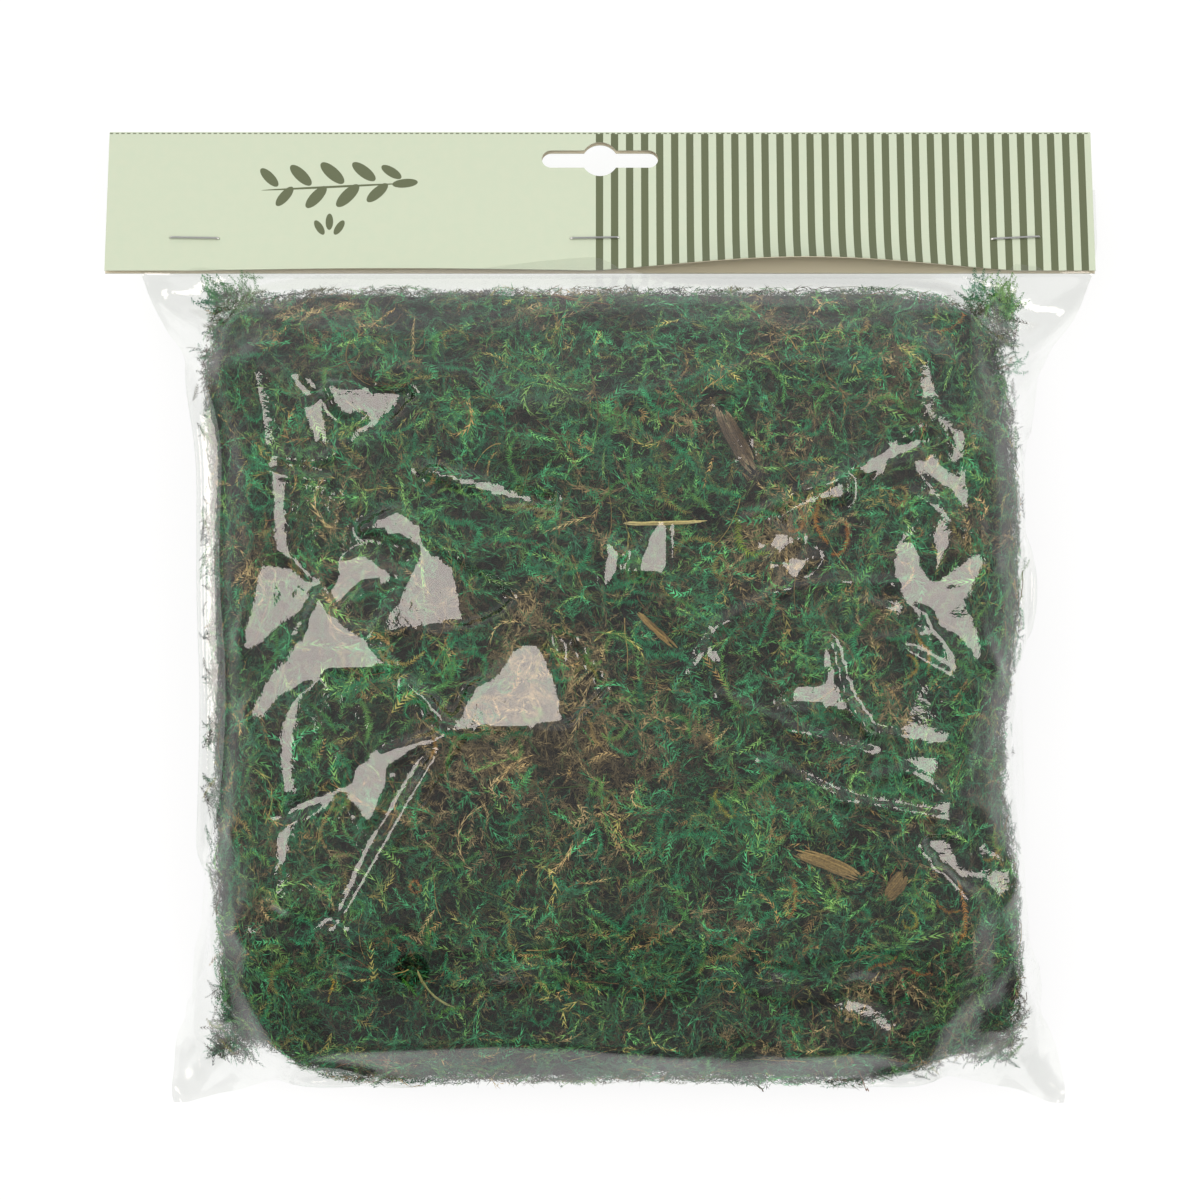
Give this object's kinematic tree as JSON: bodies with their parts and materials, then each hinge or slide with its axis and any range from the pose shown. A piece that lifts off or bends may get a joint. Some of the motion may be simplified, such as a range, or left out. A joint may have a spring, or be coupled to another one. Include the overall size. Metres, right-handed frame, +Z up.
{
  "type": "moss clump in a clear header bag",
  "caption": "Pressed clump of dried green moss in a clear wrinkled film bag, closed by a folded card header that is stapled on and has a euro hang slot.",
  "frame": {"origin": "middle of the pack's bounding box at the surface that the bag lies on", "axes": "+X along the header card to its right, +Y from the bag's bottom seam towards the card's fold, +Z up out of the front film"},
  "size_m": [0.25, 0.246, 0.0545],
  "materials": {
    "clear_film": "clear glossy polypropylene film",
    "printed_card": "pale green satin print with darker olive stripes on its right half",
    "steel_wire": "bright drawn staple wire",
    "dried_moss": "dry, matt and fibrous, dyed green with yellow and brown tips",
    "bark": "dark dry bark",
    "dry_wood": "split, pale yellow-brown wood",
    "dry_leaf": "dry brown leaf",
    "straw": "dry straw with a slight gloss"
  },
  "bodies": {
    "root": {"bag": "clear_film", "header_card": "printed_card", "staple_left": "steel_wire", "staple_middle": "steel_wire", "staple_right": "steel_wire", "moss_clump": "dried_moss", "bark_strip": "bark", "wood_chip": "dry_wood", "leaf_flake": "dry_leaf", "straw_long": "straw", "straw_flat": "straw", "straw_bent": "straw"}
  },
  "joints": []
}
